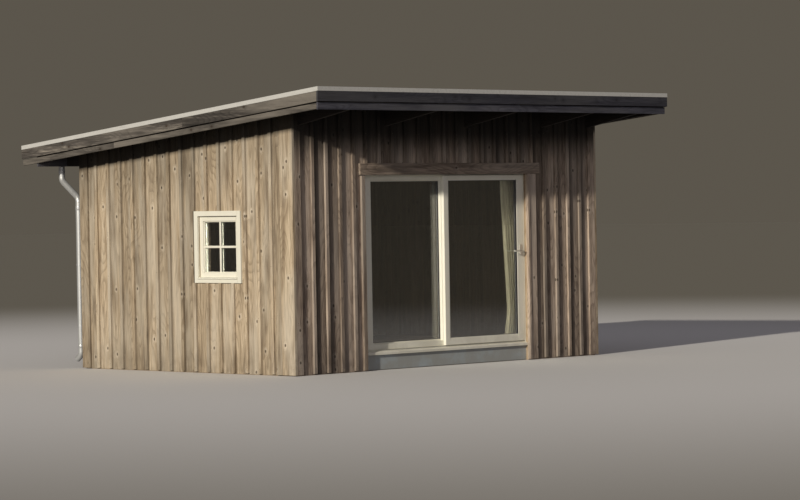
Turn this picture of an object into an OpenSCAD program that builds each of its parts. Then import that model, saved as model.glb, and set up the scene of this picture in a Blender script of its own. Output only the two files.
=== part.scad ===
// Garden office pod: one timber room under a single sloped roof.
// A wide sliding glass door fills most of the front, and the roof falls to a gutter at the rear.
// X runs along the front to the right, Y runs from the front to the rear, and Z is up.
// The origin is on the ground, under the middle of the roof.

/* [Body] */
// Width over the corner boards
body_w = 5270; // [5000:10:6000]
// Depth over the corner boards
body_d = 3760; // [3400:10:4600]
// Wall thickness, from the face of the boards to the inner lining
wall_t = 180; // [150:5:240]
// Height of the rafters' underside at the front wall
eave_h = 2855; // [2750:5:3100]
// Height of the floor boards above the ground
floor_h = 200; // [180:5:230]

/* [Cladding] */
// Width of the battens that cover the board joints
batten_w = 45; // [38:1:60]
// Thickness of the battens and the corner boards
batten_t = 32; // [22:1:38]
// Spacing of the battens
batten_pitch = 221.2; // [190:0.2:250]
// Width of the corner boards on the front and the rear
corner_w = 148; // [120:2:170]

/* [Roof] */
// Slope of the roof in degrees, falling to the rear
roof_slope = 5.8; // [4:0.1:7]
// Overhang in front of the front wall
front_overhang = 850; // [600:10:1000]
// Overhang past each side wall
side_overhang = 400; // [300:10:500]
// Reach of the bargeboards behind the rear wall
rear_overhang = 610; // [560:10:700]
// Depth of the rafters, measured plumb
rafter_depth = 250; // [200:5:260]
// Thickness of the rafters
rafter_t = 48; // [45:1:70]
// Thickness of the roof deck
deck_t = 28; // [22:1:34]

/* [Door] */
// Distance from the left side to the door frame
door_left = 1150; // [1100:5:1180]
// Width of the door frame
door_w = 2840; // [2700:5:2860]
// Height of the underside of the threshold
door_base = 180; // [160:5:180]
// Height of the top of the door frame
door_top = 2325; // [2300:5:2340]
// Thickness of the sliding leaf
leaf_t = 44; // [40:1:48]

/* [Window] */
// Distance from the front to the side window's opening
window_from = 948; // [900:2:1100]
// Width of the window's opening
window_w = 680; // [560:10:700]
// Height of the bottom of the window's opening
window_base = 1116; // [1000:2:1200]
// Height of the window's opening
window_h = 720; // [600:10:760]

/* [Hidden] */
$fn = 48;

// Colours, as the finished object shows them
wood_lit = "#a39079";
wood_grey = "#83756a";
fascia_grey = "#43434c";
white_paint = "#eae4d4";
zinc = "#b9bcbb";
inside_wood = "#c9ab7c";

slope = tan(roof_slope);
side_x = body_w / 2;
roof_x = side_x + side_overhang;
roof_l = front_overhang + body_d + rear_overhang;
roof_front = -roof_l / 2;
roof_rear = roof_l / 2;
front = roof_front + front_overhang;
rear = front + body_d;
wall_in = batten_t + wall_t;
left = -side_x;

// Gap left where one sloped face rests on another
seat = 0.5;

corner_left_w = corner_w - 16;
corner_side_w = 310;
corner_rear_w = 145;

cover_t = 8;
flash_t = 3;
flash_up = 30;
board_t = 22;
fascia_gap = 132;
fascia_drop = 222;
barge_drop = 211;
lower_board_h = 120;
upper_in = flash_t + board_t;
lower_in = upper_in + board_t;
rear_fascia_at = rear + 350;
verge_rafter_h = 165;
verge_rafter_t = 45;
tail_end = rear_fascia_at;
tail_start = roof_front + lower_in;

// Underside of the deck, top of the covering and underside of the rafters at a distance along Y
function deck_z(y) = eave_h + rafter_depth - slope * (y - front);
function top_z(y) = deck_z(y) + deck_t + cover_t;
function rafter_z(y) = deck_z(y) - rafter_depth;
function frame_top(y) = deck_z(y) - seat;
fascia_base = top_z(roof_front) - fascia_drop;
tail_z = rafter_z(rear - batten_t);

// Middle of each rafter: one beside each side wall, and three between
beam_w = 72;
outer_rafter = batten_t + beam_w + rafter_t / 2;
inner_rafter = 1555;
rafter_pitch = 1370;
rafter_at = [left + outer_rafter,
    for (k = [0:2]) left + inner_rafter + k * rafter_pitch,
    side_x - outer_rafter];

// The door's own lines
door_x0 = left + door_left;
door_x1 = door_x0 + door_w;
door_face = front + 70;
frame_depth = 120;
frame_back = door_face + frame_depth;
sash_face = door_face + leaf_t + 6;
clear = 5;
jamb_lip = 12;
jamb_left = 70;
jamb_right = 50;
head_h = 44;
threshold_h = 55;
rail_top = 51;
rail_base = 73;
lock_stile = 117;
meeting_stile = 75;
fixed_stile = 158;
fixed_top = 60;
fixed_base = 68;
meeting_x = door_x0 + 1413;
leaf_x1 = door_x1 - jamb_lip - clear;
leaf_z0 = door_base + threshold_h + 6;
leaf_z1 = door_top - head_h - 6;
glass_t = 24;
leaf_glass_in = 12;
fixed_glass_in = 44;
casing_w = 38;
casing_t = 40;
trim_x1 = door_x1 + 31;
filler_w = 120;
header_base = door_top - 40;
header_h = 135;
header_x0 = door_x0 - casing_w - 29;
header_x1 = trim_x1 + filler_w + 53;

// The lever's spindle on the lock stile
lever_x = leaf_x1 - lock_stile / 2;
lever_z = 1342;
neck_r = 10;
neck_fit = 0.05;

// The side window's own lines
window_y0 = front + window_from;
window_y1 = window_y0 + window_w;
window_z1 = window_base + window_h;
window_trim = 60;

// The first batten's middle, from the left side on the front and from the front on the sides
front_batten_from = 309;
side_batten_from = 375;
side_pitch = batten_pitch - 0.6;
batten_foot = 15;
batten_gap = 4;
corner_gap = 20;

gutter_r = 65;
gutter_t = 3;
gutter_y = rear_fascia_at + board_t + seat + gutter_t + gutter_r;
gutter_z = deck_z(rear_fascia_at + board_t) - 10;
gutter_x = roof_x - lower_in - 2;

pipe_r = 37.5;
pipe_x = left + 90;
pipe_wall_x = left + 40;
pipe_wall_y = rear + 70;
pipe_bend_z = 2300;
pipe_foot_z = 160;
swan_drop = 220;

curtain_y = front + wall_in + 75;
curtain_z0 = floor_h + 25;
rail_z = 2395;
rail_r = 12;

// A block between two corners
module block(x0, x1, y0, y1, z0, z1) {
    translate([x0, y0, z0]) cube([x1 - x0, y1 - y0, z1 - z0]);
}

// A plate with an outline in Y and Z, from x0 to x1
module plate(x0, x1, outline) {
    translate([x0, 0, 0]) rotate([90, 0, 90]) linear_extrude(x1 - x0) polygon(outline);
}

// A strip that follows the slope, between two heights measured from the top of the covering
module roof_strip(x0, x1, y0, y1, low, high) {
    plate(x0, x1, [[y0, top_z(y0) + low], [y1, top_z(y1) + low], [y1, top_z(y1) + high], [y0, top_z(y0) + high]]);
}

// A wall stretch that stands on z0 and ends under the rafters
module wall_stretch(x0, x1, y0, y1, z0) {
    plate(x0, x1, [[y0, z0], [y1, z0], [y1, rafter_z(y1) - seat], [y0, rafter_z(y0) - seat]]);
}

// The same stretch, ending just under the deck
module tall_strip(x0, x1, y0, y1, z0) {
    plate(x0, x1, [[y0, z0], [y1, z0], [y1, deck_z(y1) - batten_gap], [y0, deck_z(y0) - batten_gap]]);
}

module both_sides() {
    children();
    mirror([1, 0, 0]) children();
}

module floor_frame() {
    x = side_x - wall_in;
    y0 = front + wall_in;
    y1 = rear - wall_in;
    top = floor_h - 28;
    rim = 45;
    joists = 8;
    step = (2 * x - rim) / joists;
    color(inside_wood) union() {
        block(-x, x, y0, y0 + rim, 0, top);
        block(-x, x, y1 - rim, y1, 0, top);
        for (k = [0:joists]) block(-x + k * step, -x + k * step + rim, y0, y1, 0, top);
    }
}

module floor_boards() {
    color(inside_wood) block(-side_x + wall_in, side_x - wall_in, front + wall_in, rear - wall_in, floor_h - 28, floor_h);
}

module door_sill_beam() {
    color(inside_wood) block(door_x0, door_x1, door_face + board_t, front + wall_in, 0, door_base);
}

module front_wall_left() {
    color(wood_grey) wall_stretch(left + batten_t, door_x0, front + batten_t, front + wall_in, 0);
}

module front_wall_right() {
    color(wood_grey) wall_stretch(door_x1, side_x - batten_t, front + batten_t, front + wall_in, 0);
}

module front_wall_over_door() {
    color(wood_grey) wall_stretch(door_x0, door_x1, front + batten_t, front + wall_in, door_top);
}

module left_wall_front() {
    color(wood_lit) wall_stretch(left + batten_t, left + wall_in, front + wall_in, window_y0, 0);
}

module left_wall_rear() {
    color(wood_lit) wall_stretch(left + batten_t, left + wall_in, window_y1, rear - wall_in, 0);
}

module left_wall_under_window() {
    color(wood_lit) block(left + batten_t, left + wall_in, window_y0, window_y1, 0, window_base);
}

module left_wall_over_window() {
    color(wood_lit) wall_stretch(left + batten_t, left + wall_in, window_y0, window_y1, window_z1);
}

module right_wall() {
    color(wood_lit) wall_stretch(side_x - wall_in, side_x - batten_t, front + wall_in, rear - wall_in, 0);
}

module rear_wall() {
    color(wood_grey) wall_stretch(left + batten_t, side_x - batten_t, rear - wall_in, rear - batten_t, 0);
}

// The beam on top of a side wall, outside the first rafter
module top_beam() {
    y0 = front + batten_t;
    y1 = rear - batten_t;
    plate(left + batten_t, left + batten_t + beam_w,
        [[y0, rafter_z(y0)], [y1, rafter_z(y1)], [y1, frame_top(y1)], [y0, frame_top(y0)]]);
}

module top_beams() {
    color(wood_lit) both_sides() top_beam();
}

// A batten under a rafter ends at the rafter, and one between rafters ends at the deck
function meets_rafter(x) = min([for (r = rafter_at) abs(x - r)]) < (rafter_t + batten_w) / 2 + 3;

module front_batten(x, z0) {
    y0 = front;
    y1 = front + batten_t;
    drop = meets_rafter(x) ? rafter_depth + 12 : batten_gap;
    plate(x - batten_w / 2, x + batten_w / 2,
        [[y0, z0], [y1, z0], [y1, deck_z(y1) - drop], [y0, deck_z(y0) - drop]]);
}

// Battens beside the door stand a little off the pitch of those over it
module front_battens() {
    last = floor((body_w - corner_w - corner_gap - batten_w / 2 - front_batten_from) / batten_pitch);
    color(wood_grey) for (k = [0:last]) {
        x = left + front_batten_from + k * batten_pitch;
        over_door = x > header_x0 - batten_w / 2 - 5 && x < header_x1 + batten_w / 2 + 5;
        shift = over_door ? 0 : x < header_x0 ? 19 : 9;
        front_batten(x + shift, over_door ? header_base + header_h : batten_foot);
    }
}

// Battens on the left wall stop at the window's casing
module side_batten(y, z0) {
    tall_strip(left, left + batten_t, y - batten_w / 2, y + batten_w / 2, z0);
}

side_last = floor((body_d - corner_rear_w - corner_gap - batten_w / 2 - side_batten_from) / side_pitch);

module left_battens() {
    color(wood_lit) for (k = [0:side_last]) {
        y = front + side_batten_from + k * side_pitch;
        at_window = y > window_y0 - window_trim - batten_w / 2 && y < window_y1 + window_trim + batten_w / 2;
        side_batten(y, at_window ? window_z1 + window_trim : batten_foot);
        if (at_window) {
            block(left, left + batten_t, y - batten_w / 2, y + batten_w / 2, batten_foot, window_base - window_trim);
        }
    }
}

module right_battens() {
    color(wood_lit) mirror([1, 0, 0]) for (k = [0:side_last]) {
        side_batten(front + side_batten_from + k * side_pitch, batten_foot);
    }
}

module rear_batten(x) {
    y0 = rear - batten_t;
    drop = meets_rafter(x) ? rafter_depth + 12 : batten_gap;
    plate(x - batten_w / 2, x + batten_w / 2,
        [[y0, batten_foot], [rear, batten_foot], [rear, deck_z(rear) - drop], [y0, deck_z(y0) - drop]]);
}

module rear_battens() {
    last = floor((body_w / 2 - corner_w - corner_gap - batten_w / 2) / batten_pitch);
    color(wood_grey) for (k = [-last:last]) rear_batten(k * batten_pitch);
}

// Two boards that meet at a corner of the body, one on each face
module corner_pair(y0, y1, face_w, side_y0, side_y1) {
    difference() {
        union() {
            tall_strip(left, left + face_w, y0, y1, batten_foot - 5);
            tall_strip(left, left + batten_t, side_y0, side_y1, batten_foot - 5);
        }
        rafter_notch();
    }
}

module corner_boards() {
    color(wood_lit) union() {
        corner_pair(front, front + batten_t, corner_left_w, front, front + corner_side_w);
        mirror([1, 0, 0]) corner_pair(front, front + batten_t, corner_w, front, front + corner_side_w);
        both_sides() corner_pair(rear - batten_t, rear, corner_w, rear - corner_rear_w, rear);
    }
}

// Room for the first rafter where it passes over the corner boards
module rafter_notch() {
    x = left + outer_rafter;
    y0 = front - 10;
    y1 = rear + 10;
    plate(x - rafter_t / 2 - 2, x + rafter_t / 2 + 2,
        [[y0, rafter_z(y0) - 3], [y1, rafter_z(y1) - 3], [y1, deck_z(y1) + 50], [y0, deck_z(y0) + 50]]);
}

// A rafter with its front tail tapered up to the fascia and its rear tail cut level
module rafter(x) {
    seat_front = front + batten_t;
    seat_rear = rear - batten_t;
    plate(x - rafter_t / 2, x + rafter_t / 2, [
        [tail_start, fascia_base], [seat_front, rafter_z(seat_front)],
        [seat_rear, tail_z], [tail_end, tail_z],
        [tail_end, frame_top(tail_end)], [tail_start, frame_top(tail_start)]]);
}

module rafters() {
    color(wood_grey) for (x = rafter_at) rafter(x);
}

module verge_rafters() {
    x0 = -roof_x + lower_in;
    color(wood_grey) both_sides() {
        roof_strip(x0, x0 + verge_rafter_t, tail_start, rear_fascia_at,
            -deck_t - cover_t - verge_rafter_h, -deck_t - cover_t - seat);
    }
}

// Boards that close the walls between the rafters, in front and at the rear
module eave_blocks() {
    color(wood_grey) for (k = [0:len(rafter_at) - 2]) {
        x0 = rafter_at[k] + rafter_t / 2;
        x1 = rafter_at[k + 1] - rafter_t / 2;
        eave_block(x0, x1, front + batten_t, front + batten_t + verge_rafter_t);
        eave_block(x0, x1, rear - batten_t - verge_rafter_t, rear - batten_t);
    }
}

module eave_block(x0, x1, y0, y1) {
    plate(x0, x1, [[y0, rafter_z(y0)], [y1, rafter_z(y1)], [y1, frame_top(y1)], [y0, frame_top(y0)]]);
}

module roof_deck() {
    x = roof_x - upper_in;
    color(wood_grey) roof_strip(-x, x, roof_front + upper_in, rear_fascia_at + board_t + 15, -deck_t - cover_t, -cover_t);
}

module roof_covering() {
    x = roof_x - upper_in;
    color("#3c3d40") roof_strip(-x, x, roof_front + upper_in, rear_fascia_at + board_t + 30, -cover_t + 0.2, 0);
}

// Two overlapping boards: the upper stands a board's thickness proud of the lower
module front_fascia() {
    top = top_z(roof_front + upper_in) + flash_up - seat;
    base = top_z(roof_front) - fascia_gap;
    color(fascia_grey) union() {
        block(-roof_x + flash_t, roof_x - flash_t, roof_front + flash_t, roof_front + upper_in, base, top);
        block(-roof_x + upper_in, roof_x - upper_in, roof_front + upper_in, roof_front + lower_in,
            fascia_base, fascia_base + lower_board_h);
    }
}

module bargeboards() {
    x0 = -roof_x + flash_t;
    x1 = -roof_x + upper_in;
    x2 = -roof_x + lower_in;
    low = -barge_drop;
    color(wood_grey) both_sides() union() {
        roof_strip(x0, x1, roof_front + upper_in, roof_rear, -fascia_gap, flash_up - seat);
        roof_strip(x1, x2, roof_front + lower_in, roof_rear, low, low + lower_board_h);
    }
}

module rear_fascia() {
    y0 = rear_fascia_at;
    y1 = y0 + board_t;
    x = roof_x - lower_in;
    color(fascia_grey) plate(-x, x, [[y0, tail_z - 5], [y1, tail_z - 5], [y1, frame_top(y1)], [y0, frame_top(y0)]]);
}

// A slab that follows the slope, set in from the front and the sides, and open to the rear
module roof_slab(inset, low, high, past = 0) {
    x = roof_x - inset;
    roof_strip(-x, x, roof_front + inset, roof_rear + past, low, high);
}

// A folded metal edge that caps the fascia and the bargeboards, and laps onto the covering
module roof_edge_flashing() {
    fold = upper_in + flash_t;
    lap = 110;
    color(zinc) union() {
        difference() {
            roof_slab(0, -15, flash_up + flash_t);
            roof_slab(flash_t, -20, flash_up, 5);
            roof_slab(fold, -25, 60, 5);
        }
        difference() {
            roof_slab(upper_in, 0.3, flash_up + 1);
            roof_slab(fold, flash_t, 60, 5);
            roof_slab(lap, -5, 60, 5);
        }
    }
}

// A half-round channel with closed ends
module gutter() {
    color(zinc) union() {
        translate([-gutter_x, gutter_y, gutter_z]) rotate([0, 90, 0]) linear_extrude(2 * gutter_x) half_ring(gutter_r, gutter_t);
        both_sides() translate([-gutter_x, gutter_y, gutter_z]) rotate([0, 90, 0]) linear_extrude(gutter_t) half_disc(gutter_r);
    }
}

module half_disc(r) {
    intersection() {
        circle(r);
        translate([0, -r]) square([r, 2 * r]);
    }
}

module half_ring(r, t) {
    difference() {
        half_disc(r);
        circle(r - t);
    }
}

module gutter_brackets() {
    brackets = 7;
    span = 2 * (gutter_x - 150);
    strap = 25;
    color(zinc) for (k = [0:brackets - 1]) {
        translate([-span / 2 + k * span / (brackets - 1) - strap / 2, gutter_y, gutter_z]) union() {
            rotate([0, 90, 0]) linear_extrude(strap) half_ring(gutter_r + gutter_t + 0.2, gutter_t);
            translate([0, -gutter_r - gutter_t, -110]) cube([strap, gutter_t, 110]);
        }
    }
}

// A length of pipe between two points, with a rounded collar at its end
module pipe_run(from, to) {
    way = to - from;
    translate(from) rotate([0, acos(way[2] / norm(way)), atan2(way[1], way[0])]) cylinder(h = norm(way), r = pipe_r);
}

// A downpipe that leaves the gutter, bends back to the wall and ends in a shoe
module downpipe() {
    outlet = [pipe_x, gutter_y, gutter_z - gutter_r + 20];
    bend = [pipe_x, gutter_y, pipe_bend_z];
    wall_bend = [pipe_wall_x, pipe_wall_y, pipe_bend_z - swan_drop];
    foot = [pipe_wall_x, pipe_wall_y, pipe_foot_z];
    toe = foot + [0, 75, -52];
    color(zinc) difference() {
        union() {
            pipe_run(bend, outlet);
            pipe_run(bend, wall_bend);
            pipe_run(foot, wall_bend);
            pipe_run(foot, toe);
            for (at = [bend, wall_bend, foot]) translate(at) sphere(r = pipe_r + 3);
        }
        translate((foot + toe) / 2) rotate([0, 180 - atan(75 / 52), 90]) cylinder(h = 80, r = pipe_r - 3);
        translate([pipe_x - 60, gutter_y, gutter_z]) rotate([0, 90, 0]) cylinder(h = 120, r = gutter_r + 0.3);
    }
}

module downpipe_clips() {
    color(zinc) for (z = [500, 1250, 1950]) translate([pipe_wall_x, pipe_wall_y, z]) union() {
        linear_extrude(25) difference() {
            circle(pipe_r + 4);
            circle(pipe_r + 0.3);
        }
        translate([-10, -(pipe_wall_y - rear), 8]) cube([20, pipe_wall_y - rear - pipe_r - 1, 9]);
    }
}

// Trim boards on both sides of the door and across its top
module door_casing() {
    y0 = front + batten_t - casing_t;
    y1 = front + batten_t;
    foot = batten_foot - 5;
    color(wood_grey) union() {
        block(door_x0 - casing_w, door_x0, y0, y1, foot, header_base);
        block(door_x1 - 8, trim_x1, y0, y1, foot, header_base);
        block(trim_x1, trim_x1 + filler_w, y0 + 10, y1, foot, header_base);
        block(header_x0, header_x1, y0 - 4, y1, header_base, header_base + header_h);
    }
}

module threshold_board() {
    color("#6c7072") block(door_x0, door_x1, door_face, door_face + board_t, 5, door_base);
}

// The fixed frame: a threshold with a running rail, a head, and two jambs with a lip beside the leaf
module door_frame() {
    top = door_top - head_h;
    sill = door_base + threshold_h;
    color(white_paint) union() {
        block(door_x0, door_x1, door_face, frame_back, top, door_top);
        block(door_x0, door_x1, sash_face, frame_back, door_base, sill);
        plate(door_x0, door_x1, [[door_face - 30, door_base], [sash_face, door_base],
            [sash_face, sill - 6], [door_face, sill - 12], [door_face - 30, sill - 24]]);
        block(door_x0, door_x1, door_face + leaf_t / 2 - 5, door_face + leaf_t / 2 + 5, sill - 20, sill + 1);
        block(door_x0, door_x0 + jamb_lip, door_face, frame_back, sill - 15, top);
        block(door_x0, door_x0 + jamb_left, sash_face, frame_back, sill, top);
        block(door_x1 - jamb_lip, door_x1, door_face, frame_back, sill - 15, top);
        block(door_x1 - jamb_right, door_x1, sash_face, frame_back, sill, top);
    }
}

// A glazed frame with its own widths for stiles and rails
module sash(x0, x1, y0, y1, z0, z1, left_w, right_w, top_h, base_h) {
    difference() {
        block(x0, x1, y0, y1, z0, z1);
        block(x0 + left_w, x1 - right_w, y0 - 1, y1 + 1, z0 + base_h, z1 - top_h);
    }
}

module fixed_sash() {
    color(white_paint) sash(door_x0 + jamb_left, meeting_x + meeting_stile, sash_face, frame_back,
        door_base + threshold_h, door_top - head_h, fixed_stile, meeting_stile, fixed_top, fixed_base);
}

module fixed_glass() {
    y = sash_face + fixed_glass_in;
    color("#9fb0ad", 0.4) block(door_x0 + jamb_left + fixed_stile, meeting_x, y, y + glass_t,
        door_base + threshold_h + fixed_base, door_top - head_h - fixed_top);
}

module sliding_sash() {
    color(white_paint) sash(meeting_x, leaf_x1, door_face, door_face + leaf_t, leaf_z0, leaf_z1,
        meeting_stile, lock_stile, rail_top, rail_base);
}

module sliding_glass() {
    y = door_face + leaf_glass_in;
    color("#9fb0ad", 0.4) block(meeting_x + meeting_stile, leaf_x1 - lock_stile, y, y + glass_t, leaf_z0 + rail_base, leaf_z1 - rail_top);
}

// A plate with round ends, a seat for the lever and a lock cylinder below it
module handle_plate() {
    plate_w = 34;
    plate_t = 8;
    half = 52;
    mid = 1355;
    color("#c6c6c2") translate([lever_x, door_face, mid]) rotate([90, 0, 0]) difference() {
        union() {
            translate([-plate_w / 2, -half, 0]) cube([plate_w, 2 * half, plate_t]);
            for (end = [-half, half]) translate([0, end, 0]) cylinder(h = plate_t, r = plate_w / 2);
            translate([0, lever_z - mid, 0]) cylinder(h = 16, r = neck_r + 5);
            translate([0, -45, 0]) cylinder(h = plate_t + 5, r = 9);
        }
        translate([0, lever_z - mid, 3]) cylinder(h = 20, r = neck_r + neck_fit);
    }
}

// A round lever that points to the left, on a neck seated in the plate
module lever_handle() {
    neck = 52;
    grip = 150;
    grip_r = 9;
    color("#c6c6c2") translate([lever_x, door_face, lever_z]) union() {
        translate([0, -4, 0]) rotate([90, 0, 0]) cylinder(h = neck - 4 + grip_r, r = neck_r);
        translate([0, -neck, 0]) rotate([0, -90, 0]) cylinder(h = grip, r = grip_r);
        translate([-grip, -neck, 0]) rotate([-90, 0, 0]) cylinder(h = 22, r = grip_r);
        translate([-grip, -neck, 0]) sphere(r = grip_r);
    }
}

module window_casing() {
    out = window_trim;
    color(white_paint) difference() {
        block(left, left + batten_t, window_y0 - out, window_y1 + out, window_base - out, window_z1 + out);
        block(left - 1, left + batten_t + 1, window_y0, window_y1, window_base, window_z1);
    }
}

module window_frame() {
    edge = 58;
    color(white_paint) difference() {
        block(left + batten_t + 8, left + batten_t + 98, window_y0, window_y1, window_base, window_z1);
        block(left, left + wall_in, window_y0 + edge, window_y1 - edge, window_base + edge, window_z1 - edge);
    }
}

module window_glass() {
    edge = 58;
    x = left + batten_t + 34;
    color("#9fb0ad", 0.4) block(x, x + glass_t, window_y0 + edge, window_y1 - edge, window_base + edge, window_z1 - edge);
}

// A gathered panel at the right of the doorway, with a wavy outline
module curtain() {
    x0 = left + 3800;
    folds = 4;
    fold_w = 70;
    half_t = 9;
    swing = 22;
    steps = folds * 8;
    wave = [for (k = [0:steps]) [x0 + k * fold_w / 8, swing * sin(k * 45)]];
    outline = concat([for (p = wave) [p[0], p[1] - half_t]], [for (k = [steps:-1:0]) [wave[k][0], wave[k][1] + half_t]]);
    color("#a9a184") translate([0, curtain_y, curtain_z0]) linear_extrude(rail_z - rail_r - curtain_z0) polygon(outline);
}

module curtain_rail() {
    x0 = left + 1120;
    x1 = left + 4160;
    color("#e4e0d6") union() {
        translate([x0, curtain_y, rail_z]) rotate([0, 90, 0]) cylinder(h = x1 - x0, r = rail_r);
        for (x = [x0 + 60, (x0 + x1) / 2, x1 - 30]) block(x - 10, x + 10, front + wall_in, curtain_y, rail_z - 8, rail_z + 8);
    }
}

floor_frame();
floor_boards();
door_sill_beam();
front_wall_left();
front_wall_right();
front_wall_over_door();
left_wall_front();
left_wall_rear();
left_wall_under_window();
left_wall_over_window();
right_wall();
rear_wall();
top_beams();
front_battens();
left_battens();
right_battens();
rear_battens();
corner_boards();
rafters();
verge_rafters();
eave_blocks();
roof_deck();
roof_covering();
front_fascia();
bargeboards();
rear_fascia();
roof_edge_flashing();
gutter();
gutter_brackets();
downpipe();
downpipe_clips();
door_casing();
threshold_board();
door_frame();
fixed_sash();
fixed_glass();
sliding_sash();
sliding_glass();
handle_plate();
lever_handle();
window_casing();
window_frame();
window_glass();
curtain();
curtain_rail();
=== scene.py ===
"""Garden office pod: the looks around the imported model, seen as in the photograph."""

import math
import random

import bmesh
import bpy
from mathutils import Matrix, Vector


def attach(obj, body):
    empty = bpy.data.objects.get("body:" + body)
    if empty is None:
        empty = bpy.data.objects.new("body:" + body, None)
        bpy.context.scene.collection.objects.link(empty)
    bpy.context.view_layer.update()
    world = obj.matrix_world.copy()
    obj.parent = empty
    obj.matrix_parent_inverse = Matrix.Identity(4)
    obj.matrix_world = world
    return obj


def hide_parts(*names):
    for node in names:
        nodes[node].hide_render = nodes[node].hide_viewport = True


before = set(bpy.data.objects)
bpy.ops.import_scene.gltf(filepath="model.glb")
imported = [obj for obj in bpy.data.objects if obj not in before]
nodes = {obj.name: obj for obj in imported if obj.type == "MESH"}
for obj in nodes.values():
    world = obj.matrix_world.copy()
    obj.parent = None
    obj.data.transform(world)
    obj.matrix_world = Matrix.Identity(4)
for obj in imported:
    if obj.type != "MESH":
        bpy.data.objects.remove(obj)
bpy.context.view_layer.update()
POD, LEAF, LEVER = "pod", "door_leaf", "door_lever"

# The part's own sizes, in metres
SIDE_X, FRONT, REAR = 2.635, -1.760, 2.000
ROOF_X, ROOF_FRONT, ROOF_REAR = 3.035, -2.610, 2.610
SLOPE = math.tan(math.radians(5.8))
EAVE, RAFTER, RAFTER_W, DECK, COVER = 2.855, 0.250, 0.048, 0.028, 0.008
SKIN, INNER = 0.032, 0.212
ROOM_X, ROOM_Y0, ROOM_Y1 = SIDE_X - INNER, FRONT + INNER, REAR - INNER
PITCH, SIDE_PITCH, BATTEN_W = 0.2212, 0.2206, 0.045
FLOOR, FLOOR_T = 0.200, 0.028
DOOR_X0, DOOR_X1, DOOR_BASE, DOOR_TOP = -1.485, 1.355, 0.180, 2.325
DOOR_Y = FRONT + 0.070
SASH_Y, FRAME_BACK = DOOR_Y + 0.050, DOOR_Y + 0.120
SILL_Z, LINTEL_Z = DOOR_BASE + 0.055, DOOR_TOP - 0.044
MEET_X, LEAF_X1, LEAF_RIGHT = DOOR_X0 + 1.413, DOOR_X1 - 0.017, 0.117
HEAD_Z0, HEAD_Z1 = 2.285, 2.420
HEAD_X0, HEAD_X1 = -1.552, 1.559
TRIM_X1 = DOOR_X1 + 0.031
WIN_Y0, WIN_Y1, WIN_Z0, WIN_Z1 = FRONT + 0.948, FRONT + 1.628, 1.116, 1.836
CASING_W, WIN_FRAME_W = 0.060, 0.058
UNIT_T, PANE_T = 0.024, 0.004
RAFTERS = [-SIDE_X + 0.128, -1.080, 0.290, 1.660, SIDE_X - 0.128]
EDGE_T = 0.022  # of the fascia boards, the bargeboards and the threshold board
REAR_FASCIA = REAR + 0.350
GUTTER_Y, GUTTER_R = REAR_FASCIA + 0.0905, 0.065


def deck_z(y):
    return EAVE + RAFTER - SLOPE * (y - FRONT)


def top_z(y):
    return deck_z(y) + DECK + COVER


def rafter_z(y):
    return deck_z(y) - RAFTER


GUTTER_Z = deck_z(REAR_FASCIA + 0.022) - 0.010


# -------- mesh helpers


def circle(centre, u, w, r, sides):
    """Points round a centre, in the plane of the directions u and w."""
    turns = [math.tau * k / sides for k in range(sides)]
    return [centre + (u * math.cos(a) + w * math.sin(a)) * r for a in turns]


class Pile:
    """Planks and small parts gathered into one mesh, each with a shade and grain of its own."""

    WAVE = 6.28  # about one turn, for the planks' slight bends

    def __init__(self, seed):
        self.verts, self.faces, self.marks = [], [], []
        self.rng = random.Random(seed)

    def mark(self):
        """A part's shade and the two shifts of its grain."""
        return (self.rng.random(), self.rng.random() * 9, self.rng.random() * 9)

    def sweep(self, rings, mark=None, closed=False):
        """A skin over rings of points, with its ends capped unless the last ring meets the first."""
        mark = mark or self.mark()
        base, n, count = len(self.verts), len(rings[0]), len(rings)
        for ring in rings:
            self.verts += [tuple(p) for p in ring]
            self.marks += mark if isinstance(mark, list) else [mark] * n
        for i in range(count if closed else count - 1):
            a, b = base + i * n, base + (i + 1) % count * n
            for j in range(n):
                h = (j + 1) % n
                self.faces.append((a + j, a + h, b + h, b + j))
        if not closed:
            self.faces.append(tuple(base + j for j in reversed(range(n))))
            self.faces.append(tuple(base + (count - 1) * n + j for j in range(n)))

    def plank(self, place, s0, s1, outline, segs, wander=0.0006, mark=None):
        """place(s, v, n) gives a point: s along the plank, v across its face, n out from its back."""
        r = self.rng
        a, b, c, _ = (r.uniform(0, self.WAVE) for _ in range(4))
        f, g = r.uniform(0.6, 1.6), r.uniform(0.6, 1.6)
        rings = []
        for i in range(segs + 1):
            t = i / segs
            s = s0 + (s1 - s0) * t
            dv = wander * math.sin(self.WAVE * f * t + a) + 0.3 * wander * math.sin(19 * t + b)
            dn = 0.6 * wander * math.sin(self.WAVE * g * t + c)
            rings.append([place(s, v + dv, n + (dn if n > 0.001 else 0)) for v, n in outline])
        self.sweep(rings, mark)

    def disc(self, centre, out, r, h):
        """A low domed head, such as a nail's, that stands h out of a face."""
        out = Vector(out).normalized()
        u = out.orthogonal().normalized()
        w = out.cross(u)
        c = Vector(centre)
        steps = ((r, -0.002), (r, h * 0.55), (r * 0.6, h))
        self.sweep([circle(c + out * rise, u, w, wide, 8) for wide, rise in steps])

    def make(self, name, mat, body=POD, smooth=0, hides=None):
        me = bpy.data.meshes.new(name)
        me.from_pydata(self.verts, [], self.faces)
        at = me.attributes.new("board", "FLOAT_VECTOR", "POINT")
        at.data.foreach_set("vector", [x for m in self.marks for x in m])
        bm = bmesh.new()
        bm.from_mesh(me)
        bmesh.ops.recalc_face_normals(bm, faces=bm.faces)
        bm.to_mesh(me)
        bm.free()
        return finish_piece(name, me, mat, body, smooth, hides)


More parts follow.
